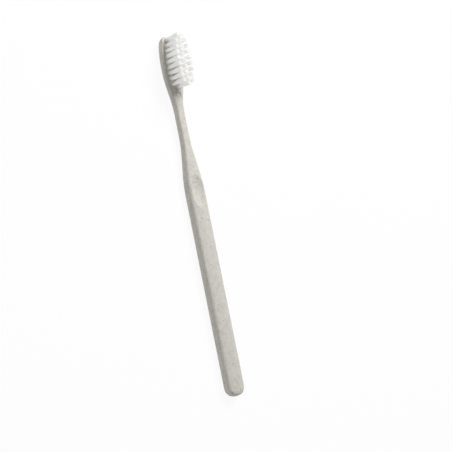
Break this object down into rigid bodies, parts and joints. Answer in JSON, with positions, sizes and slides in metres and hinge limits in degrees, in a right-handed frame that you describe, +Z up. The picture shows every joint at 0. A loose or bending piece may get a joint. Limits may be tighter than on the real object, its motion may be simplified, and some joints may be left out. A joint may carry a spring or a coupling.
{
  "type": "manual toothbrush",
  "caption": "Straight manual toothbrush with a slim neck, a thumb rest, and an oval head set with upright bristle tufts in a zigzag.",
  "frame": {"origin": "half way along the brush, on its centre line, on the plane that the back of the handle rests on", "axes": "+X along the brush towards the tip of the head, +Z up through the bristles, +Y to the left when looking towards the head"},
  "size_m": [0.19, 0.012, 0.0167],
  "materials": {
    "handle_plastic": "satin, pale warm grey with fine darker specks",
    "bristle_nylon": "slightly translucent white filament",
    "anchor_metal": "plain stamped sheet"
  },
  "bodies": {
    "root": {"handle": "handle_plastic", "tuft_left_1": "bristle_nylon", "tuft_middle_1": "bristle_nylon", "tuft_right_1": "bristle_nylon", "tuft_left_2": "bristle_nylon", "tuft_middle_2": "bristle_nylon", "tuft_right_2": "bristle_nylon", "tuft_left_3": "bristle_nylon", "tuft_middle_3": "bristle_nylon", "tuft_right_3": "bristle_nylon", "tuft_left_4": "bristle_nylon", "tuft_middle_4": "bristle_nylon", "tuft_right_4": "bristle_nylon", "tuft_left_5": "bristle_nylon", "tuft_middle_5": "bristle_nylon", "tuft_right_5": "bristle_nylon", "tuft_left_6": "bristle_nylon", "tuft_middle_6": "bristle_nylon", "tuft_right_6": "bristle_nylon", "tuft_left_7": "bristle_nylon", "tuft_middle_7": "bristle_nylon", "tuft_right_7": "bristle_nylon", "tuft_left_8": "bristle_nylon", "tuft_middle_8": "bristle_nylon", "tuft_right_8": "bristle_nylon", "tuft_left_9": "bristle_nylon", "tuft_middle_9": "bristle_nylon", "tuft_right_9": "bristle_nylon", "tuft_anchors": "anchor_metal"}
  },
  "joints": []
}
